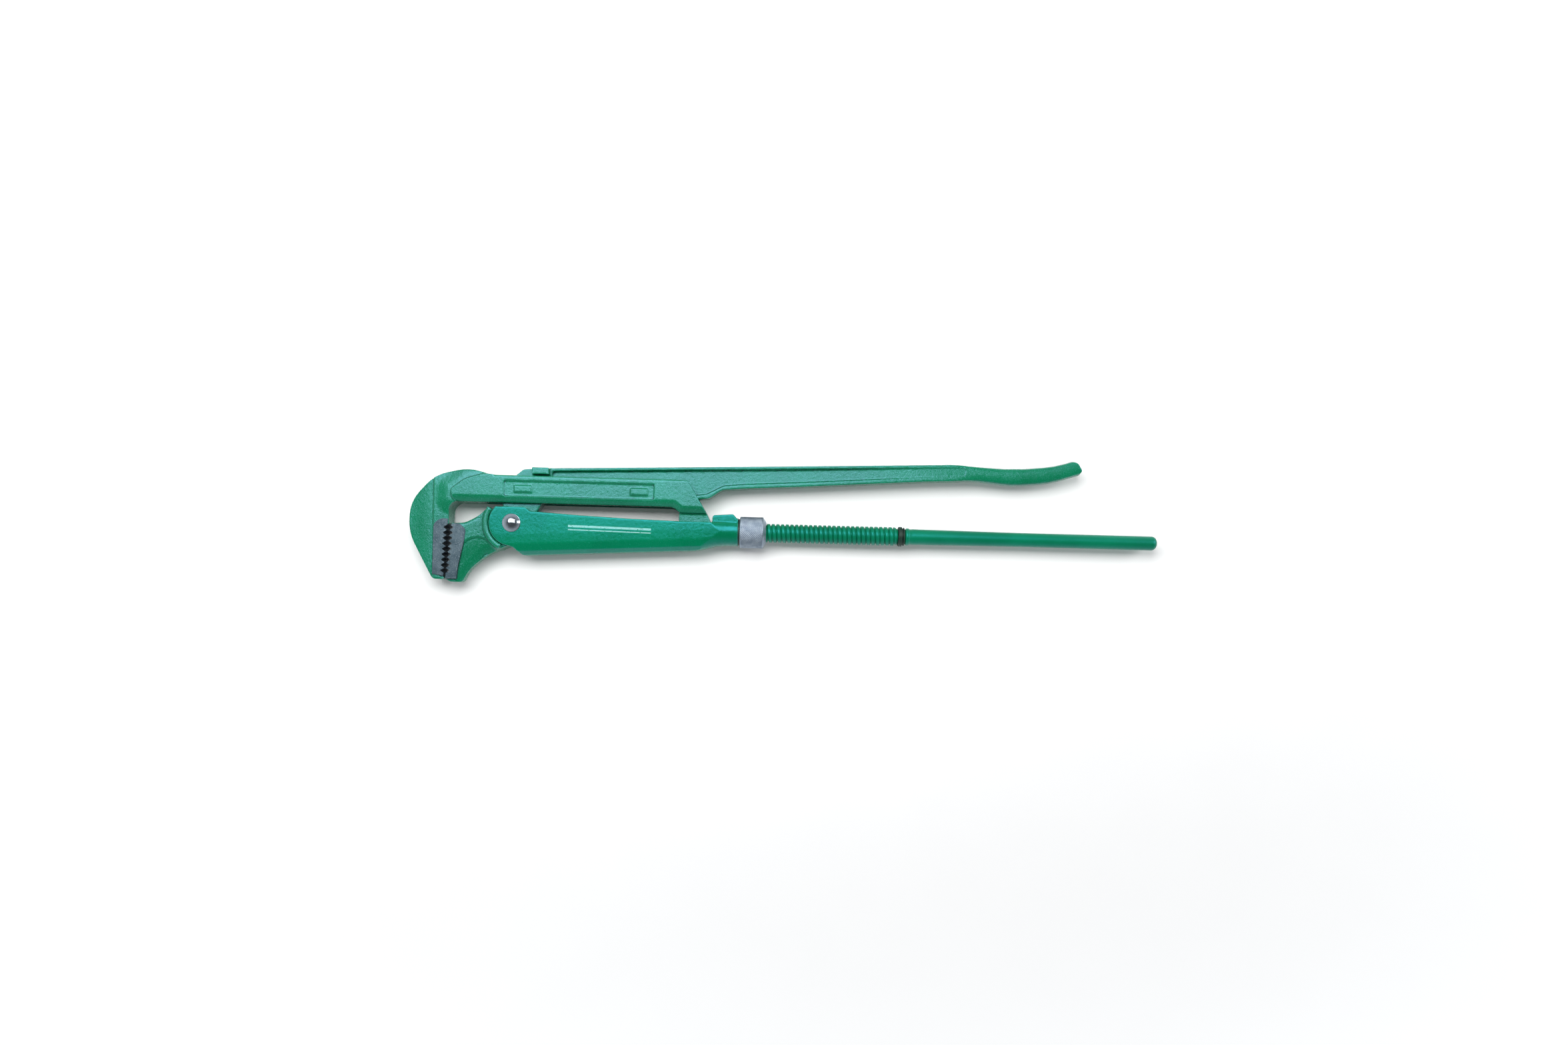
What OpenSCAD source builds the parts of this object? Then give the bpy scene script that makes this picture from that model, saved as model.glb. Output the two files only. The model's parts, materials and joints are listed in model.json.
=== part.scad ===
// Pipe wrench of the 90 degree two-handle pattern, lying on its side, jaws closed.
// X runs from the hook jaw to the end of the rod handle, Y across the tool and Z through its thickness.
// Every sub-part is drawn about the pivot rivet, then moved so that the origin is
// the bottom centre of the whole tool's box.

/* [Jaws] */
// Half thickness of both jaws' forged heads
head_half = 8.75; // [8:0.25:9.5]
// Height of the ground tooth pads over the forged faces
pad_proud = 0.4; // [0.2:0.1:0.8]
// Distance from one tooth to the next
tooth_pitch = 4.6; // [4.3:0.1:4.8]
// Depth of the tooth gaps
tooth_depth = 2.7; // [1.5:0.1:3]
// Number of tooth gaps in each jaw
tooth_count = 9; // [6:1:9]

/* [Forked shank] */
// Half thickness over the fork's two cheeks
fork_half = 13.5; // [12.5:0.25:14.5]
// Half width of the slot that the lever swings in
slot_half = 6.5; // [6.3:0.1:7]
// Depth of the long recessed panel in each face
panel_depth = 1; // [0.5:0.1:1.5]

/* [Lever] */
// Half width of the lever's flanges
flange_half = 6; // [5:0.25:6]
// Half thickness of the web between the flanges
web_half = 3.2; // [2.5:0.1:4]
// Half thickness of the hub between the housing's cheeks
hub_half = 8.3; // [7.5:0.1:8.4]
// Radius of the hub round the rivet
hub_r = 13.5; // [11:0.5:14]
// Half thickness of the raised rim that shields the joint
rim_half = 12; // [10:0.5:12.5]

/* [Housing] */
// Half thickness over the two cheeks
cheek_half = 12.75; // [12:0.25:13.25]
// Half width of the channel that the foot slides in
channel_half = 8.6; // [8.5:0.05:9]
// Thickness of the channel's floor
floor_t = 4.5; // [3.5:0.25:5.5]
// Radius of the rounded cheek ends about the rivet
cheek_r = 19.5; // [18:0.25:19.5]

/* [Pivot rivet] */
// Radius of the rivet's shank
rivet_r = 5; // [4:0.25:6]
// Radius of the rivet's domed head
rivet_head_r = 7.7; // [7:0.1:8.5]
// Height of the domed head
rivet_head_h = 3.4; // [2.5:0.1:4]
// Radial running clearance of the lever on the rivet
running_fit = 0.05; // [0.02:0.01:0.09]

/* [Adjuster] */
// Radius over the thread's crests
thread_r = 8; // [7.5:0.1:8]
// Depth of the thread
thread_depth = 1.5; // [0.8:0.1:1.8]
// Pitch of the thread
thread_pitch = 4; // [3:0.5:5]
// Outer radius of the knurled nut
nut_r = 13.4; // [12.5:0.1:13.5]
// Length of the knurled part of the nut
nut_len = 22.4; // [18:0.2:24]
// Radius of the nut's neck in the socket
neck_r = 9.6; // [9.4:0.05:9.8]

/* [Rod handle] */
// Radius of the handle's straight end
handle_r = 6; // [5.5:0.1:6.4]
// Radius of the handle at the thread
handle_root_r = 6.7; // [6.5:0.1:7.5]
// Distance from the pivot to the handle's tip
handle_tip = 549.5; // [500:0.5:600]

/* [Hidden] */

green = [0.0, 0.42, 0.24];
steel = [0.62, 0.63, 0.65];
dark = [0.12, 0.12, 0.13];

$fn = 64;
arc_step = 9;
eps = 0.01;
far = 60;

// Axis of the rod, below the rivet
rod_y = -2;

// Working faces of the two jaws: x at y = -3, and the lean of each face.
hook_face = [-55.3, 0.047];
lever_face = [-52.7, 0.072];
first_tooth_y = -5;

// Outline corners are [x, y] or [x, y, rounding radius].
head_outline = [
    [hook_face[0], -2.6], [-54.3, -1.6], [-54.3, 17.6, 8.5], [-12, 17.6, 20], [0, 16.8], [0, 40.3],
    [-17, 40.3, 40], [-38, 45.9, 40], [-67, 39.6, 38], [-88.2, 17, 30], [-89.4, -9.5, 40],
    [-67.2, -49, 5], [-57.4, -49, 1.5]
];
fork_outline = [
    [-50, 17.2, 6], [-52, 27, 4], [-40, 36.3, 20], [-22, 41.6, 20], [-15, 40.3], [147.5, 40.3, 6],
    [164.8, 12.3], [142, 12.3, 4], [136, 17.2, 8], [100, 17.2]
];
foot_end = 168;
foot_outline = [
    [141, 20], [160, 20], [164.8, 12.3], [foot_end, 5.2], [foot_end, -9, 2.5], [164.5, -10.8, 3],
    [141, -10.8, 3]
];
panel_outline = [[-7.4, 22.4, 2], [-7.4, 35.9, 2], [120.2, 35.9, 2], [120.2, 22.4, 2]];
panel_bars = [[2, 26.4], [100, 26.4]];
panel_bar = [14, 5];
slot_start = -25;
foot_fit = 0.35;
hook_pad = [
    [-67, -44.6, 1], [-67, -1.5, 7], [-60, 2.5, 5], [-54.5, 2.5], [-54.5, -2], [-55.5, -3], [-57.6, -46.5]
];
jaw_outline = [
    [-20.2, 14, 3], [-29, 5.5, 20], [-41, -0.6, 12], [-51.6, -1, 1.5], [-52.7, -3], [-55.8, -46],
    [-55.8, -49.3, 1], [-52, -51, 3], [-42.5, -51, 4], [-38.5, -42, 30], [-24, -27.5, 60], [-3, -19]
];
jaw_pad = [
    [-51.5, -1.4, 1.5], [-45, -1.2, 4], [-39.6, -6, 5], [-40.4, -15, 20], [-45.4, -38, 20],
    [-46.4, -48.6], [-55.7, -48.6], [-55.7, -46], [-52.8, -4]
];
arm_outline = [
    [-11, 0], [-9, 18, 12], [1.6, 41.4, 1], [7.6, 46.4, 4], [30, 47.9], [200, 53.7], [376, 60.1, 120],
    [426, 57.9, 130], [460, 61.3, 90], [478.5, 67.2, 5.5], [484.3, 55.2, 3.5], [455, 46.2, 90],
    [424, 43.3, 90], [390, 46.9, 80], [347, 44.9], [246, 37.9], [196, 34.9], [176.5, 33.2, 12],
    [166, 25.6, 8], [150, 24.4], [60, 22.6], [27, 22.6, 5], [18, 8, 10], [12, 0]
];
arm_pocket = [
    [32, 25.6, 4], [32, 45.3, 2], [200, 51.1], [384, 57.8, 3], [384, 50.6, 3], [347, 48.4],
    [246, 41.4], [196, 38.4], [178, 36.6, 10], [164, 29.2, 8], [150, 27.4], [60, 25.6]
];
cheek_top = 13.7;
channel_end = 169.5;
socket_shoulder = 173;
socket_end = 191.4;
socket_r = 12;
housing_outline = [
    [-2, cheek_top], [11, cheek_top, 3], [15.2, 10.3, 4], [58.6, 7.9], [98, 6.3], [137.5, 5.3],
    [socket_end, 5.1], [socket_end, -13.9], [176, -14.4, 25], [156, -19, 40], [9, -27, 4],
    [1.5, -20.6, 3], [-2, -19.2]
];
// Where the cheeks run out into the round socket, as [radius, X]
rear_taper = [
    [0, -far], [far, -far], [far, 136], [24, 146], [18.6, 156], [15.2, 165], [13, 173], [12.2, 180],
    [socket_r, 187], [socket_r, socket_end], [0, socket_end]
];
boss_outline = [
    [channel_end, -2], [channel_end, 11.3, 2], [187, 12.7, 2], [socket_end, 8, 2], [socket_end, -2]
];
boss_half = 9.5;
base_from = [9, -27];
base_slope = atan2(8, 147);
trough_start = -40;
trough_len = 240;
bed_corner = 3.5;
// Halves of the upright sections, as [height over the base, half width, rounding radius]
outer_section = [[0, 5.5, 3], [3.6, 10.6, 0.5], [9, 12.5, 8], [far, 14]];
bed_section = [[floor_t, channel_half, bed_corner], [far, channel_half]];

// Rim that stands up round the ends of the cheeks
rim_in = 20.2;
rim_out = 25;
rim_start = 147;
rim_stop = 244;

// Stop lug on each face of the lever, over the top edge of the fork
lug_box = [[16, 42], [30.3, 47.6]];

// Adjuster, along the rod
spigot_r = 5;
spigot_start = 143;
thread_start = 171;
thread_end = 327.5;
ring_end = 333.4;
handle_start = 338;
tail_r = 4.5;
tail_len = 18;
rod_clear = 0.5;
nut_face = 192.8;
washer_gap = 0.2;
washer_r = 11.4;
neck_fit = 0.1;
neck_start = 173.3;
nut_clear = 0.2;
cross_pin_x = 152;
cross_pin_r = 2.5;
cross_pin_half = 8;
screw_x = 182;
screw_r = 2.75;
screw_top = 11.6;
groove_r = 8.85;
dog_r = 1.7;
dog_clear = 0.15;

// The clenched rear end of the rivet lies level with the fork's back face
rear_head_h = fork_half - cheek_half;

function unit(v) = v / norm(v);

// Points of one outline corner b between its neighbours a and c, rounded if it says a radius.
function corner(a, b, c) =
    len(b) < 3 ? [b] :
    let (
        p = [b[0], b[1]],
        u = unit([a[0], a[1]] - p),
        v = unit([c[0], c[1]] - p),
        half = acos(u * v) / 2,
        centre = p + unit(u + v) * b[2] / sin(half),
        from = p + u * b[2] / tan(half) - centre,
        to = p + v * b[2] / tan(half) - centre,
        start = atan2(from[1], from[0]),
        turn = (atan2(to[1], to[0]) - start + 540) % 360 - 180,
        steps = max(1, ceil(abs(turn) / arc_step))
    )
    [for (i = [0 : steps])
        centre + b[2] * [cos(start + turn * i / steps), sin(start + turn * i / steps)]];

function rounded(c) =
    [for (i = [0 : len(c) - 1]) each corner(c[(i + len(c) - 1) % len(c)], c[i], c[(i + 1) % len(c)])];

function lowest(points, k) = min([for (p = points) p[k]]);
function highest(points, k) = max([for (p = points) p[k]]);

// The row frame's origin, seen from the rivet
origin = [
    (lowest(rounded(head_outline), 0) + handle_tip) / 2,
    (lowest(rounded(jaw_outline), 1) + highest(rounded(arm_outline), 1)) / 2,
    -fork_half
];

module about_pivot() {
    translate(-origin) children();
}

// A flat outline made into a plate of the given half thickness about the mid-plane
module slab(half) {
    translate([0, 0, -half]) linear_extrude(2 * half) children();
}

// A profile of [radius, distance along X] points, spun about the rod's axis
module along_rod(profile) {
    translate([0, rod_y, 0]) rotate([0, 90, 0]) rotate_extrude() polygon(profile);
}

module rod_hole(r, x0, x1) {
    translate([x0, rod_y, 0]) rotate([0, 90, 0]) cylinder(r = r, h = x1 - x0);
}

// V gaps between the teeth of one jaw; side is 1 for gaps cut towards +X
module tooth_gaps(face, side) {
    mouth = tooth_pitch * 0.47;
    for (i = [0 : tooth_count - 1]) {
        y = first_tooth_y - i * tooth_pitch;
        x = face[0] + (y + 3) * face[1];
        slab(far / 2) polygon([
            [x - side * 2, y + mouth * 1.7], [x + side * tooth_depth, y], [x - side * 2, y - mouth * 1.7]
        ]);
    }
}

// Both faces' long panels, with a raised bar at each end in place of lettering
module panels() {
    for (s = [-1, 1]) {
        translate([0, 0, s * (fork_half - panel_depth / 2)]) difference() {
            slab(panel_depth / 2 + eps) polygon(rounded(panel_outline));
            for (place = panel_bars)
                translate(place) slab(far / 2) square(panel_bar);
        }
    }
}

module hook_jaw() {
    color(green) about_pivot() difference() {
        union() {
            difference() {
                union() {
                    slab(head_half) polygon(rounded(head_outline));
                    slab(fork_half) polygon(rounded(fork_outline));
                }
                slab(slot_half) translate([slot_start, 0]) square([foot_end - slot_start, far]);
                panels();
            }
            slab(channel_half - foot_fit) polygon(rounded(foot_outline));
            slab(head_half + pad_proud) polygon(rounded(hook_pad));
        }
        tooth_gaps(hook_face, -1);
        rod_hole(spigot_r, spigot_start, foot_end + 1);
        translate([cross_pin_x, rod_y, -far / 2]) cylinder(r = cross_pin_r, h = far);
    }
}

module rod_cross_pin() {
    color(steel) about_pivot()
        translate([cross_pin_x, rod_y, -cross_pin_half]) cylinder(r = cross_pin_r, h = 2 * cross_pin_half);
}

module lever() {
    color(green) about_pivot() difference() {
        union() {
            difference() {
                slab(flange_half) polygon(rounded(arm_outline));
                for (s = [-1, 1])
                    translate([0, 0, s * (flange_half + web_half) / 2])
                        slab((flange_half - web_half) / 2 + eps) polygon(rounded(arm_pocket));
            }
            slab(hub_half) {
                circle(r = hub_r);
                polygon(rounded(jaw_outline));
            }
            difference() {
                union() {
                    slab(head_half) polygon(rounded(jaw_outline));
                    slab(rim_half) intersection() {
                        circle(r = rim_out);
                        polygon([[0, 0], for (a = [rim_start, 195, rim_stop]) far * [cos(a), sin(a)]]);
                    }
                }
                slab(far / 2) circle(r = rim_in);
            }
            slab(head_half + pad_proud) polygon(rounded(jaw_pad));
            slab(fork_half - 1) translate(lug_box[0]) square(lug_box[1] - lug_box[0]);
        }
        tooth_gaps(lever_face, 1);
        translate([0, 0, -far / 2]) cylinder(r = rivet_r + running_fit, h = far);
    }
}

function flipped(side) = [for (i = [len(side) - 1 : -1 : 0])
    len(side[i]) < 3 ? [side[i][0], -side[i][1]] : [side[i][0], -side[i][1], side[i][2]]];

// Upright section of the housing, or of its channel, run along the sloping base
module trough(side) {
    translate([base_from[0], base_from[1], 0]) rotate([0, 0, base_slope])
        translate([trough_start, 0, 0]) rotate([90, 0, 90]) linear_extrude(trough_len)
            polygon(rounded(concat(side, flipped(side))));
}

module housing() {
    color(green) about_pivot() difference() {
        union() {
            difference() {
                intersection() {
                    along_rod(rear_taper);
                    slab(cheek_half) {
                        intersection() {
                            circle(r = cheek_r);
                            translate([-far, -far]) square([far, far + cheek_top]);
                        }
                        polygon(rounded(housing_outline));
                    }
                    trough(outer_section);
                }
                intersection() {
                    trough(bed_section);
                    translate([-far, -far, -far]) cube([far + channel_end, 3 * far, 2 * far]);
                }
            }
            rod_hole(socket_r, channel_end, socket_end);
            slab(boss_half) polygon(rounded(boss_outline));
        }
        rod_hole(neck_r + neck_fit, socket_shoulder, 200);
        rod_hole(thread_r + rod_clear, channel_end - 5, 200);
        translate([0, 0, -far / 2]) cylinder(r = rivet_r, h = far);
        translate([screw_x, rod_y, 0]) rotate([-90, 0, 0]) cylinder(r = screw_r, h = far);
    }
}

// Point on a shallow dome of the given base radius and height, at share t of its arc
function dome(r, h, t) =
    let (big = (r * r + h * h) / (2 * h), span = asin(r / big))
    [big * sin(span * t), big * cos(span * t) - big + h];

module pivot_rivet() {
    steps = 8;
    color(steel) about_pivot() rotate_extrude() polygon([
        [0, -cheek_half - rear_head_h],
        [rivet_head_r - 0.7, -cheek_half - rear_head_h],
        [rivet_head_r, -cheek_half],
        [rivet_r, -cheek_half],
        [rivet_r, cheek_half],
        for (i = [steps : -1 : 0]) dome(rivet_head_r, rivet_head_h, i / steps) + [0, cheek_half]
    ]);
}

module nut_retaining_screw() {
    tip = rod_y + groove_r + dog_clear;
    seat = rod_y + neck_r + neck_fit + 0.3;
    hex_r = 1.45;
    hex_depth = 1.6;
    color(dark) about_pivot() translate([screw_x, 0, 0]) rotate([-90, 0, 0]) difference() {
        union() {
            translate([0, 0, seat]) cylinder(r = screw_r, h = screw_top - seat);
            translate([0, 0, tip]) cylinder(r = dog_r, h = seat - tip + eps);
        }
        translate([0, 0, screw_top - hex_depth]) cylinder(r = hex_r, h = hex_depth + 1, $fn = 6);
    }
}

module thrust_washer() {
    color(dark) about_pivot() along_rod([
        [neck_r + neck_fit, socket_end], [washer_r, socket_end],
        [washer_r, nut_face - washer_gap], [neck_r + neck_fit, nut_face - washer_gap]
    ]);
}

module adjusting_nut() {
    bevel = 3.2;
    groove_half = dog_r + dog_clear;
    color(steel) about_pivot() along_rod([
        [thread_r + nut_clear, neck_start], [neck_r - 0.5, neck_start], [neck_r, neck_start + 0.5],
        [neck_r, screw_x - groove_half], [groove_r, screw_x - groove_half],
        [groove_r, screw_x + groove_half], [neck_r, screw_x + groove_half],
        [neck_r, nut_face], [nut_r - 0.8, nut_face], [nut_r, nut_face + 0.8],
        [nut_r, nut_face + nut_len - bevel], [nut_r - 1.4 * bevel, nut_face + nut_len],
        [thread_r + nut_clear, nut_face + nut_len]
    ]);
}

module threaded_rod() {
    turns = floor((thread_end - thread_start) / thread_pitch);
    root = thread_r - thread_depth;
    color(green) about_pivot() difference() {
        along_rod([
            [0, spigot_start], [spigot_r, spigot_start], [spigot_r, foot_end], [root, foot_end],
            for (i = [0 : turns - 1], q = [[0, 0], [0.3, 1], [0.5, 1], [0.8, 0]])
                [root + q[1] * thread_depth, thread_start + (i + q[0]) * thread_pitch],
            [root, thread_end], [tail_r + 1, thread_end], [tail_r + 1, handle_start - 1],
            [tail_r, handle_start - 1], [tail_r, handle_start + tail_len], [0, handle_start + tail_len]
        ]);
        translate([cross_pin_x, rod_y, -far / 2]) cylinder(r = cross_pin_r, h = far);
    }
}

module thread_stop_ring() {
    edge = 0.5;
    color(dark) about_pivot() along_rod([
        [tail_r + 1, thread_end + edge], [thread_r - 0.2, thread_end + edge],
        [thread_r + 0.35, thread_end + 1.2], [thread_r + 0.35, thread_end + 3.6],
        [thread_r - 0.9, thread_end + 4.1], [thread_r - 0.9, thread_end + 4.7],
        [thread_r - 0.1, thread_end + 5.1], [thread_r - 0.5, ring_end],
        [tail_r + 1, ring_end]
    ]);
}

module rod_handle() {
    round_r = 4;
    taper_end = handle_tip - 120;
    color(green) about_pivot() along_rod([
        [tail_r + 1, ring_end + 0.3], [handle_root_r - 0.3, ring_end + 0.3],
        [handle_root_r + 0.6, ring_end + 1.6], [handle_root_r + 0.6, handle_start - 1],
        [handle_root_r - 0.2, handle_start],
        [handle_root_r, handle_start + 3], [handle_r, taper_end], [handle_r, handle_tip - round_r],
        for (a = [10 : 10 : 90])
            [handle_r - round_r + round_r * cos(a), handle_tip - round_r + round_r * sin(a)],
        [0, handle_tip], [0, handle_start + tail_len], [tail_r, handle_start + tail_len],
        [tail_r, handle_start - 1], [tail_r + 1, handle_start - 1]
    ]);
}

housing();
pivot_rivet();
nut_retaining_screw();
thrust_washer();
lever();
hook_jaw();
threaded_rod();
rod_cross_pin();
thread_stop_ring();
rod_handle();
adjusting_nut();
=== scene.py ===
"""Looks of a two-handle pipe wrench: forged green enamel, ground teeth, knurled nut, bright rivet."""

import json
import math

import bmesh
import bpy
import numpy as np
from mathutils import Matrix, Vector, noise


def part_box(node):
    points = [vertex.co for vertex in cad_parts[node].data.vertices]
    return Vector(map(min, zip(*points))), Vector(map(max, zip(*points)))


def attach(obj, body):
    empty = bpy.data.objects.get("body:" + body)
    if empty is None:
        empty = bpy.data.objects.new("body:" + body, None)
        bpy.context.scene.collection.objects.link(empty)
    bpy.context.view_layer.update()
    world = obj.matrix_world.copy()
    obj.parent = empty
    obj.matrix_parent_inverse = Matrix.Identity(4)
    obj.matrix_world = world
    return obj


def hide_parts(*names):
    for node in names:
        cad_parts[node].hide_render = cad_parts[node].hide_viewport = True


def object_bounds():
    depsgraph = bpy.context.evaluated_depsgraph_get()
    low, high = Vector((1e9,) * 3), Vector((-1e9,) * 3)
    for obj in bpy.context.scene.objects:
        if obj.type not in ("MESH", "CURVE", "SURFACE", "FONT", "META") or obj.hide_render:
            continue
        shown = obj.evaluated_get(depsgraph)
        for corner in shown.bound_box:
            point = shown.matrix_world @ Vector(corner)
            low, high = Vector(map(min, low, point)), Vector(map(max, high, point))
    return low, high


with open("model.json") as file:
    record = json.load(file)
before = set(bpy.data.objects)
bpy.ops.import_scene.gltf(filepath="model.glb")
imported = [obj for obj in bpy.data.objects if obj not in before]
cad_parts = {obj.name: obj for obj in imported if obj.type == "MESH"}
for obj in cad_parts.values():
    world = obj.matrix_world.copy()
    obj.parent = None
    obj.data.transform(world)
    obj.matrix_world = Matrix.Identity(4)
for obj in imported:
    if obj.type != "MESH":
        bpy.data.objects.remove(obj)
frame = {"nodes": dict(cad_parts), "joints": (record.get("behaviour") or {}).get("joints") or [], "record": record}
cad_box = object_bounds()

MM = 0.001
JOINTS = {j["name"]: j for j in frame["joints"]}
PIVOT = Vector(JOINTS["lever_pivot"]["pos_m"])
ROD_Y = (JOINTS["nut_spin"]["pos_m"][1] - PIVOT.y) / MM
THREAD_PITCH = 2 * math.pi / frame["record"]["behaviour"]["couplings"][0]["ratio"] / MM

# Sizes in mm about the pivot, the same as the CAD solids' except for the pads, which are 0.1 mm prouder.
# A face is the X of the teeth's tips 3 mm below the pivot, and how much that grows for each mm upwards.
HEAD_HALF = 8.75
FORK_HALF = 13.5
FLANGE_HALF = 6.0
PAD_HALF = 9.25
TOOTH_PITCH = 4.6
TOOTH_DEPTH = 2.7
TOOTH_COUNT = 9
FIRST_TOOTH_Y = -5.0
HOOK_FACE = (-55.3, 0.047)
LEVER_FACE = (-52.7, 0.072)

VOXEL = 0.55
MAX_TRIANGLES = 190000


# ---------------------------------------------------------------- places and meshes

def at(x, y, z=0.0):
    """A place in mm about the pivot, as a point in metres."""
    return PIVOT + Vector((x, y, z)) * MM


def x_of(node, end):
    """Lowest (0) or highest (1) X of a CAD node, in mm about the pivot."""
    return (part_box(node)[end].x - PIVOT.x) / MM


def new_object(name, verts, faces):
    mesh = bpy.data.meshes.new(name)
    mesh.from_pydata([tuple(v) for v in verts], [], faces)
    mesh.update()
    obj = bpy.data.objects.new(name, mesh)
    bpy.context.scene.collection.objects.link(obj)
    return obj


def tidy(obj, merge=1e-6):
    """Merges doubled vertices and points every face outwards."""
    bm = bmesh.new()
    bm.from_mesh(obj.data)
    bmesh.ops.remove_doubles(bm, verts=bm.verts, dist=merge)
    bmesh.ops.recalc_face_normals(bm, faces=bm.faces)
    bm.to_mesh(obj.data)
    bm.free()


def apply_modifiers(obj):
    graph = bpy.context.evaluated_depsgraph_get()
    mesh = bpy.data.meshes.new_from_object(obj.evaluated_get(graph))
    obj.modifiers.clear()
    obj.data = mesh


def shade(obj, smooth=True):
    for p in obj.data.polygons:
        p.use_smooth = smooth


def coords(obj):
    co = np.zeros(len(obj.data.vertices) * 3)
    obj.data.vertices.foreach_get("co", co)
    return (co.reshape(-1, 3) - np.array(PIVOT)) / MM


def set_coords(obj, mm):
    co = mm * MM + np.array(PIVOT)
    obj.data.vertices.foreach_set("co", co.ravel())
    obj.data.update()


def cad_copy(node, name):
    src = frame["nodes"][node]
    obj = bpy.data.objects.new(name, src.data.copy())
    obj.data.materials.clear()
    bpy.context.scene.collection.objects.link(obj)
    tidy(obj)
    return obj


def prism(name, outline, z0, z1):
    """A closed prism over an outline of (x, y) points in mm about the pivot."""
    n = len(outline)
    verts = [at(x, y, z) for z in (z0, z1) for x, y in outline]
    sides = [(i, (i + 1) % n, n + (i + 1) % n, n + i) for i in range(n)]
    obj = new_object(name, verts, [tuple(range(n))[::-1], tuple(range(n, 2 * n))] + sides)
    tidy(obj)
    return obj


def cut(obj, tool):
    mod = obj.modifiers.new("cut", "BOOLEAN")
    mod.operation = "DIFFERENCE"
    mod.solver = "EXACT"
    mod.object = tool
    apply_modifiers(obj)
    bpy.data.objects.remove(tool)


def remesh(obj, rounds):
    """Even small faces all over, with the edges slightly rounded as a forging's are."""
    mod = obj.modifiers.new("remesh", "REMESH")
    mod.mode = "VOXEL"
    mod.voxel_size = VOXEL * MM
    mod = obj.modifiers.new("soften", "SMOOTH")
    mod.factor = 0.5
    mod.iterations = rounds
    apply_modifiers(obj)


def thin_out(obj):
    """Fewer faces where the surface is plain."""
    triangles = 2 * len(obj.data.polygons)
    if triangles > MAX_TRIANGLES:
        mod = obj.modifiers.new("thin", "DECIMATE")
        mod.ratio = MAX_TRIANGLES / triangles
        apply_modifiers(obj)


def mark_relief(obj):
    """Stores each vertex's curvature in 1/mm, above 0 on edges and below 0 in creases, for painted shade and
    highlights.
    """
    mesh = obj.data
    ends = np.zeros(len(mesh.edges) * 2, dtype=np.int64)
    mesh.edges.foreach_get("vertices", ends)
    a, b = ends.reshape(-1, 2).T
    mm = coords(obj)
    normals = np.zeros(len(mm) * 3)
    mesh.vertices.foreach_get("normal", normals)
    count = np.bincount(a, minlength=len(mm)) + np.bincount(b, minlength=len(mm))

    def around(values):
        total = np.bincount(a, values[b], len(mm)) + np.bincount(b, values[a], len(mm))
        return total / np.maximum(count, 1)

    step = mm - np.stack([around(c) for c in mm.T], axis=1)
    length = np.linalg.norm(mm[a] - mm[b], axis=1) ** 2
    square = (np.bincount(a, length, len(mm)) + np.bincount(b, length, len(mm))) / np.maximum(count, 1)
    bend = 2 * np.einsum("ij,ij->i", step, normals.reshape(-1, 3)) / np.maximum(square, 0.01)
    for _ in range(2):
        bend = 0.5 * bend + 0.5 * around(bend)
    layer = mesh.attributes.new("relief", "FLOAT", "POINT")
    layer.data.foreach_set("value", bend.astype(np.float32))


def path_distance(x, y, path):
    """Distance in mm from each (x, y) to a line through the given points."""
    best = np.full(len(x), 1e9)
    for (x0, y0), (x1, y1) in zip(path, path[1:]):
        dx, dy = x1 - x0, y1 - y0
        t = np.clip(((x - x0) * dx + (y - y0) * dy) / (dx * dx + dy * dy), 0, 1)
        best = np.minimum(best, np.hypot(x - x0 - t * dx, y - y0 - t * dy))
    return best


def smoothstep(a, b, v):
    t = np.clip((v - a) / (b - a), 0, 1)
    return t * t * (3 - 2 * t)


def dimple(obj, depth, size):
    """Uneven forged skin: every vertex moves along its normal by smooth noise."""
    mm = coords(obj)
    normals = np.zeros(len(obj.data.vertices) * 3)
    obj.data.vertices.foreach_get("normal", normals)
    lift = np.array([noise.noise(Vector(p / size)) for p in mm])
    set_coords(obj, mm + normals.reshape(-1, 3) * (lift * depth)[:, None])


def rounded(corners, step=8):
    """Outline points from corners (x, y) or (x, y, radius)."""
    points = []
    for i, b in enumerate(corners):
        if len(b) < 3:
            points.append(b)
            continue
        p = np.array(b[:2], float)
        u = np.array(corners[i - 1][:2]) - p
        v = np.array(corners[(i + 1) % len(corners)][:2]) - p
        u, v = u / np.linalg.norm(u), v / np.linalg.norm(v)
        half = math.acos(float(u @ v)) / 2
        middle = (u + v) / np.linalg.norm(u + v)
        centre = p + middle * b[2] / math.sin(half)
        start, stop = p + u * b[2] / math.tan(half) - centre, p + v * b[2] / math.tan(half) - centre
        a = math.atan2(start[1], start[0])
        turn = (math.atan2(stop[1], stop[0]) - a + 3 * math.pi) % (2 * math.pi) - math.pi
        n = max(2, math.ceil(abs(math.degrees(turn)) / step))
        for k in range(n + 1):
            t = a + turn * k / n
            points.append(tuple(centre + b[2] * np.array((math.cos(t), math.sin(t)))))
    return points


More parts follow.
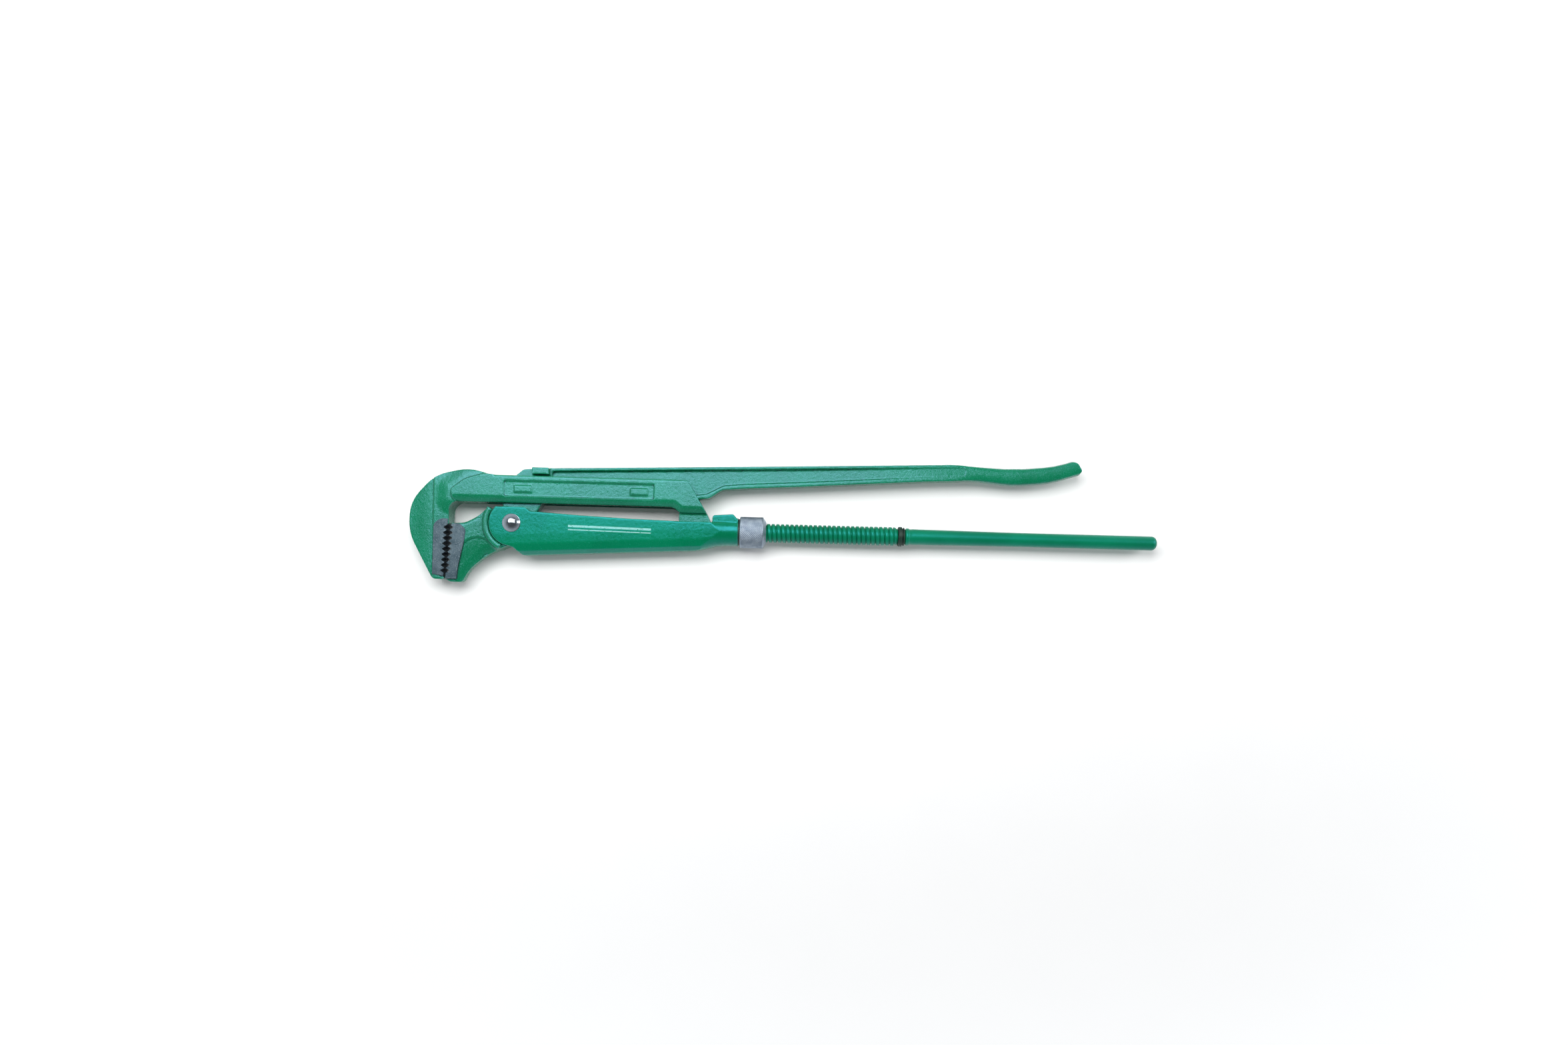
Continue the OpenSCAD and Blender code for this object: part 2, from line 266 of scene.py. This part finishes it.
def lathe(name, profile, segments, axis="x", relief=None, closed=False):
    """Spins (along, radius) points in mm about the rod's axis, or about the rivet's when axis is "z".
    relief(along, angle) adds to the radius of the points that have a third, true value."""
    verts, rings = [], []
    for p in profile:
        ring = []
        for k in range(segments if p[1] > 0 else 1):
            a = 2 * math.pi * k / segments
            r = p[1] + (relief(p[0], a) if len(p) > 2 and p[2] else 0)
            c, s = r * math.cos(a), r * math.sin(a)
            ring.append(len(verts))
            verts.append(at(p[0], ROD_Y + c, s) if axis == "x" else at(c, s, p[0]))
        rings.append(ring)
    faces = []
    pairs = list(zip(rings, rings[1:])) + ([(rings[-1], rings[0])] if closed else [])
    for lo, hi in pairs:
        for k in range(segments):
            a, b = lo[k % len(lo)], lo[(k + 1) % len(lo)]
            c, d = hi[(k + 1) % len(hi)], hi[k % len(hi)]
            faces.append(tuple(dict.fromkeys((a, b, c, d))))
    obj = new_object(name, verts, faces)
    tidy(obj, 1e-9)
    shade(obj)
    return obj


def finish_piece(obj, body, slot, material, *nodes):
    obj.data.materials.clear()
    obj.data.materials.append(material)
    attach(obj, body)
    if nodes:
        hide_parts(*nodes)
    return obj


# ---------------------------------------------------------------- materials

class Nodes:
    """A material's node tree, with the object's own coordinates in millimetres about the pivot."""

    def __init__(self, name):
        self.material = bpy.data.materials.new(name)
        self.material.use_nodes = True
        self.tree = self.material.node_tree
        self.shader = self.tree.nodes["Principled BSDF"]
        here = self.tree.nodes.new("ShaderNodeTexCoord").outputs["Object"]
        moved = self.vector("SUBTRACT", here, tuple(PIVOT))
        self.mm = self.vector("SCALE", moved, scale=1 / MM)
        parts = self.tree.nodes.new("ShaderNodeSeparateXYZ")
        self.tree.links.new(self.mm, parts.inputs[0])
        self.x, self.y, self.z = parts.outputs

    def link(self, value, socket):
        if isinstance(value, bpy.types.NodeSocket):
            self.tree.links.new(value, socket)
        else:
            socket.default_value = value

    def vector(self, operation, a, b=None, scale=None):
        node = self.tree.nodes.new("ShaderNodeVectorMath")
        node.operation = operation
        self.link(a, node.inputs[0])
        if b is not None:
            self.link(b, node.inputs[1])
        if scale is not None:
            self.link(scale, node.inputs["Scale"])
        return node.outputs[0]

    def math(self, operation, a, b=None):
        node = self.tree.nodes.new("ShaderNodeMath")
        node.operation = operation
        for value, socket in zip((a, b), node.inputs):
            if value is not None:
                self.link(value, socket)
        return node.outputs[0]

    def ramp(self, value, low, high, to_low=0.0, to_high=1.0):
        """Smooth step from to_low at low up to to_high at high."""
        node = self.tree.nodes.new("ShaderNodeMapRange")
        node.interpolation_type = "SMOOTHSTEP"
        for v, socket in zip((value, low, high, to_low, to_high), node.inputs):
            self.link(v, socket)
        return node.outputs[0]

    def noise(self, size, detail=2.0, stretch=(1, 1, 1), roughness=0.5):
        """Noise whose features are about size mm across."""
        node = self.tree.nodes.new("ShaderNodeTexNoise")
        self.link(self.vector("MULTIPLY", self.mm, stretch), node.inputs["Vector"])
        node.inputs["Scale"].default_value = 1 / size
        node.inputs["Detail"].default_value = detail
        node.inputs["Roughness"].default_value = roughness
        return node.outputs[0]

    def attribute(self, name):
        node = self.tree.nodes.new("ShaderNodeAttribute")
        node.attribute_name = name
        return node.outputs["Fac"]

    def mix(self, factor, a, b):
        node = self.tree.nodes.new("ShaderNodeMix")
        node.data_type = "RGBA"
        self.link(factor, node.inputs["Factor"])
        self.link(a if isinstance(a, bpy.types.NodeSocket) else (*a, 1), node.inputs[6])
        self.link(b if isinstance(b, bpy.types.NodeSocket) else (*b, 1), node.inputs[7])
        return node.outputs[2]

    def bump(self, height, distance, after=None):
        """Relief of distance mm for a height of 1."""
        node = self.tree.nodes.new("ShaderNodeBump")
        node.inputs["Distance"].default_value = distance * MM
        node.inputs["Strength"].default_value = 1.0
        self.link(height, node.inputs["Height"])
        if after is not None:
            self.link(after, node.inputs["Normal"])
        return node.outputs[0]

    def set(self, **sockets):
        for name, value in sockets.items():
            socket = self.shader.inputs[name.replace("_", " ")]
            if isinstance(value, tuple):
                value = (*value, 1)
            self.link(value, socket)


GREEN = (0.0, 0.165, 0.066)
DEEP_GREEN = (0.0, 0.115, 0.042)
# Colour of the painted highlights: the enamel's light flecks and its lightened edges.
HIGHLIGHT_GREEN = (0.07, 0.36, 0.31)
# Colour of the painted shade in the enamel's creases.
CREASE_SHADE_GREEN = (0.0, 0.03, 0.013)


def enamel(name, grain, glint_share, rough=0.2, red=0.1):
    """Gloss green enamel over a forged skin. grain scales the relief, the fleck share how many light flecks are
    painted on as glints (painted highlights for the enamel's sparkle), and red is the red in its reflections.
    The attribute "relief" drives painted shade in creases and painted highlights on edges."""
    n = Nodes(name)
    fine = n.noise(0.85, 3.0, roughness=0.65)
    coarse = n.noise(2.4, 2.0)
    drift = n.noise(38.0, 2.0)
    # Light flecks on the green are painted highlights, a painted sparkle of light on the bumpy enamel.
    glint_noise = n.noise(0.8, 2.0, roughness=0.7)
    body = n.mix(n.ramp(drift, 0.35, 0.65, 0.45, 1.0), DEEP_GREEN, GREEN)
    painted_glints = n.math("MULTIPLY", n.ramp(glint_noise, 0.52, 0.68), n.ramp(drift, 0.3, 0.7, 0.6 * glint_share, glint_share))
    bend = n.attribute("relief")
    # Creases are painted near-black green: painted shade, together with the deeper green of enamel pooled in
    # hollows.
    body = n.mix(n.ramp(bend, -0.06, -0.4, 0.0, 0.7), body, CREASE_SHADE_GREEN)
    colour = n.mix(painted_glints, body, HIGHLIGHT_GREEN)
    # Edges are painted lighter: a painted highlight along every rounded edge.
    colour = n.mix(n.ramp(bend, 0.2, 0.7, 0.0, 0.45), colour, HIGHLIGHT_GREEN)
    relief = n.bump(coarse, 0.10 * grain)
    relief = n.bump(fine, 0.13 * grain, after=relief)
    n.set(Base_Color=colour, Normal=relief)
    n.set(Roughness=n.ramp(coarse, 0.2, 0.8, rough - 0.05, rough + 0.08))
    n.set(Specular_IOR_Level=0.9, Specular_Tint=(red, 0.72, 1.0))
    return n


def ground_steel():
    n = Nodes("ground_steel")
    grind = n.noise(0.35, 3.0, stretch=(1, 0.12, 1))
    patch = n.noise(7.0, 3.0)
    grit = n.noise(0.8, 2.0)
    colour = n.mix(n.ramp(patch, 0.3, 0.7), (0.035, 0.062, 0.08), (0.07, 0.105, 0.128))
    colour = n.mix(n.ramp(grit, 0.5, 0.75, 0.0, 0.5), colour, (0.2, 0.25, 0.28))
    n.set(Base_Color=colour, Metallic=0.75, Roughness=n.ramp(grind, 0.2, 0.8, 0.38, 0.56))
    n.set(Normal=n.bump(grind, 0.05, after=n.bump(grit, 0.04)))
    return n.material


def plated_steel():
    n = Nodes("plated_steel")
    grit = n.noise(0.5, 2.0)
    patch = n.noise(5.0, 2.0)
    colour = n.mix(n.ramp(patch, 0.3, 0.7), (0.20, 0.25, 0.31), (0.31, 0.37, 0.44))
    n.set(Base_Color=colour, Metallic=0.85, Roughness=n.ramp(patch, 0.2, 0.8, 0.3, 0.42))
    n.set(Normal=n.bump(grit, 0.03))
    return n.material


def bright_chrome():
    n = Nodes("bright_chrome")
    swirl = n.noise(3.0, 3.0)
    n.set(Base_Color=n.mix(swirl, (0.26, 0.31, 0.36), (0.40, 0.46, 0.52)), Metallic=1.0)
    n.set(Roughness=n.ramp(swirl, 0.3, 0.7, 0.07, 0.16), Normal=n.bump(swirl, 0.1))
    return n.material


def black_steel():
    n = Nodes("black_steel")
    patch = n.noise(2.0, 3.0)
    n.set(Base_Color=n.mix(patch, (0.002, 0.01, 0.007), (0.006, 0.04, 0.026)), Metallic=0.2)
    n.set(Roughness=n.ramp(patch, 0.3, 0.7, 0.4, 0.6), Normal=n.bump(patch, 0.05))
    return n.material


def printed_enamel():
    """The housing's finer enamel, with a plain pair of pad-printed bars on its upper face."""
    n = enamel("green_enamel_housing", grain=0.6, glint_share=0.1)
    lean = n.math("MULTIPLY", n.x, -0.017)
    level = n.math("SUBTRACT", n.y, lean)
    ends = n.math("MULTIPLY", n.ramp(n.x, 47.8, 48.1), n.ramp(n.x, 117.9, 118.2, 1.0, 0.0))
    top = n.ramp(n.z, 11.5, 11.6)
    bars = None
    for middle, half in ((-0.6, 0.9), (-3.6, 0.45)):
        off = n.math("ABSOLUTE", n.math("SUBTRACT", level, middle))
        bar = n.ramp(off, half - 0.1, half + 0.1, 1.0, 0.0)
        bars = bar if bars is None else n.math("MAXIMUM", bars, bar)
    worn = n.ramp(n.noise(1.2, 3.0), 0.28, 0.42)
    mask = n.math("MULTIPLY", n.math("MULTIPLY", bars, ends), n.math("MULTIPLY", top, worn))
    green = n.shader.inputs["Base Color"].links[0].from_socket
    n.set(Base_Color=n.mix(mask, green, (0.24, 0.50, 0.44)))
    return n.material


MATERIALS = {
    "forged": enamel("green_enamel_forged", grain=1.0, glint_share=0.34, red=0.34).material,
    "housing": printed_enamel(),
    "gloss": enamel("green_gloss", grain=0.8, glint_share=0.05, rough=0.36).material,
    "ground": ground_steel(),
    "plated": plated_steel(),
    "chrome": bright_chrome(),
    "black": black_steel(),
}


# ---------------------------------------------------------------- forgings

def tooth_line(face, y):
    return face[0] + (y + 3) * face[1]


def toothed_block(name, face, side, outline):
    """Ground steel block with V teeth along its face. side is 1 when the block lies at +X of the face."""
    mouth = TOOTH_PITCH * 0.44
    edge = []
    for i in range(TOOTH_COUNT):
        y = FIRST_TOOTH_Y - i * TOOTH_PITCH
        for dy, depth in ((mouth, 0), (0.35, TOOTH_DEPTH), (-0.35, TOOTH_DEPTH), (-mouth, 0)):
            edge.append((tooth_line(face, y + dy) + side * depth, y + dy))
    points = edge + rounded(outline)
    if side > 0:
        points = points[::-1]
    obj = prism(name, points, -PAD_HALF, PAD_HALF)
    mod = obj.modifiers.new("edge", "BEVEL")
    mod.width = 0.3 * MM
    mod.segments = 2
    mod.limit_method = "ANGLE"
    mod.angle_limit = math.radians(35)
    apply_modifiers(obj)
    shade(obj, False)
    return obj


def clear_for_block(obj, face, side, low, high, box):
    """Cuts a forging back behind its teeth between two heights, and down to its faces within a box
    (x0, x1, y0, y1), where the ground pad lies."""
    far, sink = 20, 0.05
    back = side * (TOOTH_DEPTH + 0.9)
    strip = [
        (tooth_line(face, high) + back, high), (tooth_line(face, low) + back, low),
        (tooth_line(face, low) - side * 6, low), (tooth_line(face, high) - side * 6, high),
    ]
    cut(obj, prism("strip", strip, -far, far))
    x0, x1, y0, y1 = box
    square = [(x0, y0), (x1, y0), (x1, y1), (x0, y1)]
    for z0, z1 in ((HEAD_HALF - sink, far), (-far, sink - HEAD_HALF)):
        cut(obj, prism("skim", square, z0, z1))


def finish_forging(obj, skin, node, material):
    dimple(obj, depth=skin, size=1.7)
    thin_out(obj)
    mark_relief(obj)
    shade(obj)
    finish_piece(obj, node, "green_enamel", material, node)


def make_hook():
    obj = cad_copy("hook_jaw", "hook_forging")
    clear_for_block(obj, HOOK_FACE, side=-1, low=-46.8, high=-2.2, box=(-75, -50, -60, 4))
    remesh(obj, rounds=3)
    x, y, z = coords(obj).T
    deep = np.abs(z)

    # The head falls away behind its crease and rises towards the fork's nose
    head = (deep < HEAD_HALF + 1) & (x < -15)
    crease = -66.3 - 0.012 * (y + 45)
    fall = 1.1 * smoothstep(0, 1.0, crease - x) + 2.4 * smoothstep(1.0, 24, crease - x)
    arc = path_distance(x, y, [(-52, 20), (-52, 27), (-40, 36.3), (-22, 41.4), (-15, 41)])
    rise = 2.4 * (1 - smoothstep(1, 15, arc)) * (x > crease)
    deep = np.where(head, deep * (1 + (rise - fall) / HEAD_HALF), deep)

    # The fork has draft along both edges, more along the lower one
    under = path_distance(x, y, [(-48, 17.2), (136, 17.2), (142, 12.3), (165, 12.3)])
    top = path_distance(x, y, [(-15, 40.4), (147, 40.3)])
    thick = smoothstep(HEAD_HALF + 0.3, HEAD_HALF + 2.5, np.abs(z))
    draft = 3.3 * np.clip(1 - under / 5.8, 0, 1) ** 1.5 + 0.7 * np.clip(1 - top / 2.4, 0, 1) ** 2
    set_coords(obj, np.stack([x, y, np.sign(z) * (deep - draft * thick)], axis=1))
    finish_forging(obj, skin=0.05, node="hook_jaw", material=MATERIALS["forged"])
    pad = toothed_block("hook_teeth", HOOK_FACE, -1, [
        (-57.7, -46.6), (-67.0, -44.8, 0.6), (-67.0, -1.2, 7), (-60, 2.6, 5),
        (-54.75, 2.4, 0.3), (-54.75, -2.0),
    ])
    finish_piece(pad, "hook_jaw", "ground_steel", MATERIALS["ground"])


def round_grip(mm):
    """Rounds the flat bar's end into a smooth grip, right up to its slanted tip."""
    x, y, z = mm.T
    edges = np.arange(370, 464, 2.0)
    low, high = (np.array([f(y[np.abs(x - e) < 1.6]) for e in edges]) for f in (np.min, np.max))
    tip_slope = 0.315
    beyond = np.clip(x - edges[-1], 0, None) * tip_slope
    c = np.interp(x, edges, (high + low) / 2) + beyond
    h = np.interp(x, edges, (high - low) / 2)
    flat = np.abs(z).max(where=x > 420, initial=0)
    u, v = (y - c) / h, z / flat
    t = 0.62 * smoothstep(372, 400, x)
    round_y = c + h * u * np.sqrt(1 - np.minimum(v * v, 1) / 2)
    round_z = z * np.sqrt(1 - np.minimum(u * u, 1) / 2)
    return np.stack([x, y + (round_y - y) * t, z + (round_z - z) * t], axis=1)


def fade_pocket(mm):
    """Lets the recess beside the web run out towards the grip."""
    x, y, z = mm.T
    top = np.interp(x, [200, 384], [51.1, 57.8])
    bottom = np.interp(x, [246, 347, 384], [41.4, 48.4, 50.6])
    inside = (x > 240) & (y < top + 0.3) & (y > bottom - 0.3) & (np.abs(z) > 2.5)
    deep = np.sign(z) * (FLANGE_HALF - (FLANGE_HALF - np.abs(z)) * (1 - 0.9 * smoothstep(240, 372, x)))
    return np.stack([x, y, np.where(inside, deep, z)], axis=1)


def make_lever():
    obj = cad_copy("lever", "lever_forging")
    clear_for_block(obj, LEVER_FACE, side=1, low=-48.7, high=-1.9, box=(-60, -38.5, -49.2, 3))
    remesh(obj, rounds=3)
    mm = round_grip(fade_pocket(coords(obj)))
    x, y, z = mm.T
    from_rivet = np.hypot(x, y)

    # The jaw's lower lobe is sunk, and its back and top edges are rounded off
    jaw = (x < -3) & (y < 4) & (from_rivet > 24)
    lobe = -11.8 - 0.035 * (x + 29.4) ** 2 - y
    back = path_distance(x, y, [(-2, -19), (-24, -27.5), (-38.5, -42), (-42.5, -51)])
    fall = 0.9 * smoothstep(0, 1.6, lobe) + 1.2 * smoothstep(1, 20, lobe)
    fall += 2.8 * np.clip(1 - back / 7, 0, 1) ** 1.6
    fall *= smoothstep(24.5, 27.5, from_rivet) * (x < -3)
    top = path_distance(x, y, [(-20.2, 14), (-29, 5.5), (-41, -0.6), (-51.6, -1)])
    fall += 0.8 * np.clip(1 - top / 3, 0, 1) ** 2

    # The shield rim round the rivet is crowned
    rim = (from_rivet > 20) & (from_rivet < 25.6) & (np.abs(z) > 10) & (x < -3) & (y < 14)
    crown = 0.9 * np.abs((from_rivet - 22.6) / 2.4) ** 3 * rim
    z = np.where(jaw, z * (1 - fall / HEAD_HALF), z) - np.sign(z) * crown
    set_coords(obj, np.stack([x, y, z], axis=1))
    finish_forging(obj, skin=0.05, node="lever", material=MATERIALS["forged"])
    pad = toothed_block("lever_teeth", LEVER_FACE, 1, [
        (-55.7, -48.5), (-46.5, -48.5, 0.5), (-45.4, -38, 20), (-40.4, -15, 20), (-39.6, -6, 5),
        (-45, -1.3, 4), (-51.4, -1.5, 1.4),
    ])
    finish_piece(pad, "lever", "ground_steel", MATERIALS["ground"])


def make_housing():
    obj = cad_copy("housing", "housing_forging")
    remesh(obj, rounds=3)
    finish_forging(obj, skin=0.035, node="housing", material=MATERIALS["housing"])


# ---------------------------------------------------------------- turned pieces

# Where the handle's socket meets the rod's collar, and the radii of the collar and of its tenon
SHOULDER = 337
COLLAR_R = 5.5
TENON_R = 4.5
SOCKET_DEPTH = 19


def thread_shape(t):
    """Height, 0 to 1, over one pitch of rounded thread: root, flank, broad crest, flank."""
    t = t % 1.0
    rise = np.clip((t - 0.10) / 0.22, 0, 1)
    fall = np.clip((0.96 - t) / 0.22, 0, 1)
    w = min(rise, fall)
    return math.sin(w * math.pi / 2) ** 0.9 if w > 0 else 0.0


def make_rod():
    crest, root = 8.0, 6.5
    start, stop = 171.0, x_of("thread_stop_ring", 0) - 0.3
    steps = 12

    def relief(x, a):
        run = min(1.0, (x - start) / 4, (stop - x) / 3)
        return max(run, 0) * (crest - root) * thread_shape((x - start) / THREAD_PITCH - a / (2 * math.pi))

    spigot, spigot_r, foot_end = x_of("threaded_rod", 0), 5, 168
    profile = [(spigot, 0), (spigot, spigot_r - 0.5), (spigot + 0.5, spigot_r), (foot_end, spigot_r)]
    profile += [(foot_end, root - 0.3), (foot_end + 0.4, root)]
    count = round((stop - start) / THREAD_PITCH * steps)
    profile += [(start + (stop - start) * i / count, root, True) for i in range(count + 1)]
    tail = x_of("threaded_rod", 1)
    profile += [(stop + 0.1, COLLAR_R), (SHOULDER, COLLAR_R), (SHOULDER, TENON_R)]
    profile += [(tail - 0.5, TENON_R), (tail, TENON_R - 0.5), (tail, 0)]
    obj = lathe("threaded_rod_turned", profile, segments=48, relief=relief)
    finish_piece(obj, "hook_jaw", "green_gloss", MATERIALS["gloss"], "threaded_rod")


def make_handle():
    start, tip = x_of("rod_handle", 0), x_of("rod_handle", 1)
    end_r, root_r, nose_r = 6.0, 6.7, 4.5
    bar_start, taper_end = SHOULDER + 4, tip - 120
    bottom = SHOULDER + SOCKET_DEPTH

    def wave(x, a):
        return 0.05 * noise.noise(Vector((x / 9, 1.3 * math.cos(a), 1.3 * math.sin(a))))

    profile = [(bottom, 0), (bottom, TENON_R), (SHOULDER, TENON_R), (SHOULDER, COLLAR_R)]
    profile += [(start, COLLAR_R), (start + 0.2, 6.2), (start + 1.2, 7.1), (start + 2.0, 7.3)]
    profile += [(SHOULDER, 7.25), (SHOULDER + 0.6, 6.7), (SHOULDER + 1.2, 6.5), (bar_start, root_r)]
    n = 60
    for i in range(1, n + 1):
        r = root_r + (end_r - root_r) * i / n
        profile.append((bar_start + (taper_end - bar_start) * i / n, r, True))
    n = 30
    for i in range(1, n + 1):
        profile.append((taper_end + (tip - nose_r - taper_end) * i / n, end_r, True))
    for i in range(1, 10):
        a = math.radians(10 * i)
        profile.append((tip - nose_r + nose_r * math.sin(a), end_r - nose_r + nose_r * math.cos(a)))
    profile += [(tip, 0)]
    obj = lathe("rod_handle_bar", profile, segments=48, relief=wave)
    finish_piece(obj, "hook_jaw", "green_gloss", MATERIALS["gloss"], "rod_handle")


def make_nut():
    bore, neck, groove, outer, bevel, slant = 8.2, 9.6, 8.85, 13.4, 3.2, 1.35
    around, depth = 56, 0.5
    pitch = 2 * math.pi * outer / around
    face = x_of("thrust_washer", 1) + 0.2
    start, end = x_of("adjusting_nut", 0), x_of("adjusting_nut", 1)
    groove_at, groove_half = 182, 1.85

    def knurl(x, a):
        turn, slide = a * around / (2 * math.pi), (x - face) / (pitch * 1.15)
        waves = [abs(2 * ((turn + s * slide) % 1.0) - 1) for s in (1, -1)]
        edge = min(1.0, (x - face - 0.5) / 0.8, (end - bevel + 0.4 - x) / 0.8)
        return -depth * max(0.0, edge) * min(1.0, 1.25 * max(waves) ** 1.6)

    profile = [(start, bore), (start, neck - 0.5), (start + 0.5, neck)]
    profile += [(groove_at - groove_half, neck), (groove_at - groove_half, groove)]
    profile += [(groove_at + groove_half, groove), (groove_at + groove_half, neck), (face, neck)]
    profile += [(face, outer - 0.9), (face + 0.25, outer - 0.3), (face + 0.7, outer, True)]
    steps = 84
    length = end - bevel + 0.5 - face - 0.7
    profile += [(face + 0.7 + length * i / steps, outer, True) for i in range(1, steps + 1)]
    for t in (0.25, 0.4, 0.55, 0.7, 0.85, 0.97):
        profile.append((end - bevel * (1 - t), outer - slant * bevel * t ** 1.25))
    profile += [(end, outer - slant * bevel - 0.3), (end, bore + 0.9), (end - 0.9, bore)]
    obj = lathe("adjusting_nut_knurled", profile, segments=around * 6, relief=knurl, closed=True)
    finish_piece(obj, "nut", "plated_steel", MATERIALS["plated"], "adjusting_nut")


def make_rivet():
    cheek, radius, height, shank = 12.75, 7.7, 3.4, 5.0
    big = (radius ** 2 + height ** 2) / (2 * height)
    span = math.asin(radius / big)
    profile = [(-FORK_HALF, 0), (-FORK_HALF, radius - 1.0), (-FORK_HALF + 0.3, radius - 0.3)]
    profile += [(-cheek, radius), (-cheek, shank)]
    profile += [(cheek, shank), (cheek, radius - 0.2), (cheek + 0.25, radius)]
    steps = 16
    for i in range(steps, -1, -1):
        a = span * i / steps
        lip = 0.25 * (i / steps) ** 8
        profile.append((cheek + big * math.cos(a) - big + height + lip, big * math.sin(a) * 0.985))
    obj = lathe("pivot_rivet_domed", profile, segments=64, axis="z")
    finish_piece(obj, "housing", "bright_chrome", MATERIALS["chrome"], "pivot_rivet")


def dress_cad(node, material, bevel):
    """A CAD solid that already has the right shape: broken edges and its finish."""
    obj = frame["nodes"][node]
    obj.data.materials.clear()
    obj.data.materials.append(material)
    mod = obj.modifiers.new("edge", "BEVEL")
    mod.width = bevel * MM
    mod.segments = 2
    mod.limit_method = "ANGLE"


# ---------------------------------------------------------------- stage

def make_stage():
    size, middle_x = 14.0, 240.0
    corners = [(-size, -size, 0), (size, -size, 0), (size, size, 0), (-size, size, 0)]
    floor = new_object("floor", corners, [(0, 1, 2, 3)])

    # White paper that also glows away from the tool, so that no view shows a grey far floor
    n = Nodes("floor_paper")
    n.set(Base_Color=n.mix(n.noise(60.0), (0.88, 0.88, 0.88), (0.9, 0.9, 0.9)), Roughness=0.9)
    along = n.math("MULTIPLY", n.math("SUBTRACT", n.x, middle_x), 0.5)
    away = n.math("SQRT", n.math("ADD", n.math("POWER", along, 2.0), n.math("POWER", n.y, 2.0)))
    n.set(Emission_Color=(0.96, 0.98, 1), Emission_Strength=n.ramp(away, 180, 1000, 0.04, 0.75))
    floor.data.materials.append(n.material)

    def softbox(name, place, aim, width, depth, power):
        light = bpy.data.lights.new(name, "AREA")
        light.shape = "RECTANGLE"
        light.size, light.size_y, light.energy = width, depth, power
        obj = bpy.data.objects.new(name, light)
        bpy.context.scene.collection.objects.link(obj)
        obj.location = place
        obj.rotation_euler = (Vector(aim) - Vector(place)).to_track_quat("-Z", "Y").to_euler()

    softbox("key", (-0.31, 0.44, 0.93), (-0.31, 0.44, 0), width=1.08, depth=0.66, power=14.5)
    softbox("side", (1.2, 0.35, 0.8), (0.2, 0, 0), width=0.5, depth=0.8, power=7)
    world = bpy.data.worlds.new("studio")
    world.use_nodes = True
    tree = world.node_tree
    where = tree.nodes.new("ShaderNodeTexCoord").outputs["Generated"]
    parts = tree.nodes.new("ShaderNodeSeparateXYZ")
    tree.links.new(where, parts.inputs[0])
    sky = tree.nodes.new("ShaderNodeMapRange")
    sky.interpolation_type = "SMOOTHSTEP"
    tree.links.new(parts.outputs["Z"], sky.inputs["Value"])
    for socket, value in (("From Min", 0.1), ("From Max", 0.9), ("To Min", 0.9), ("To Max", 0.14)):
        sky.inputs[socket].default_value = value
    tree.links.new(sky.outputs[0], tree.nodes["Background"].inputs["Strength"])
    tree.nodes["Background"].inputs["Color"].default_value = (0.96, 0.985, 1, 1)
    bpy.context.scene.world = world
    bpy.context.scene.view_settings.view_transform = "Standard"


def make_camera():
    """Looks straight down from just below the tool's middle, rolled so that the rod dips to the right."""
    lo, hi = cad_box
    aim = Vector(((lo.x + hi.x) / 2, (lo.y + hi.y) / 2, PIVOT.z))
    height, back, seen_width, roll = 0.9, 0.0764, 1.3435, math.radians(1.55)
    data = bpy.data.cameras.new("camera")
    data.sensor_width = 36
    data.lens = data.sensor_width * height / seen_width
    data.shift_x = back * math.sin(roll) / seen_width
    data.shift_y = back * math.cos(roll) / seen_width
    data.clip_start = 0.01
    camera = bpy.data.objects.new("camera", data)
    bpy.context.scene.collection.objects.link(camera)
    camera.location = aim + Vector((0, -back, height))
    camera.rotation_euler = (0, 0, roll)
    bpy.context.scene.camera = camera


make_camera()
make_stage()
make_hook()
make_lever()
make_housing()
make_rod()
make_handle()
make_nut()
make_rivet()
dress_cad("thread_stop_ring", MATERIALS["black"], bevel=0.15)
# The thrust washer's black is partly its blackened steel and partly painted shade for the dark gap between the
# socket and the nut.
dress_cad("thrust_washer", MATERIALS["black"], bevel=0.1)
dress_cad("nut_retaining_screw", MATERIALS["black"], bevel=0.12)
dress_cad("rod_cross_pin", MATERIALS["ground"], bevel=0.3)
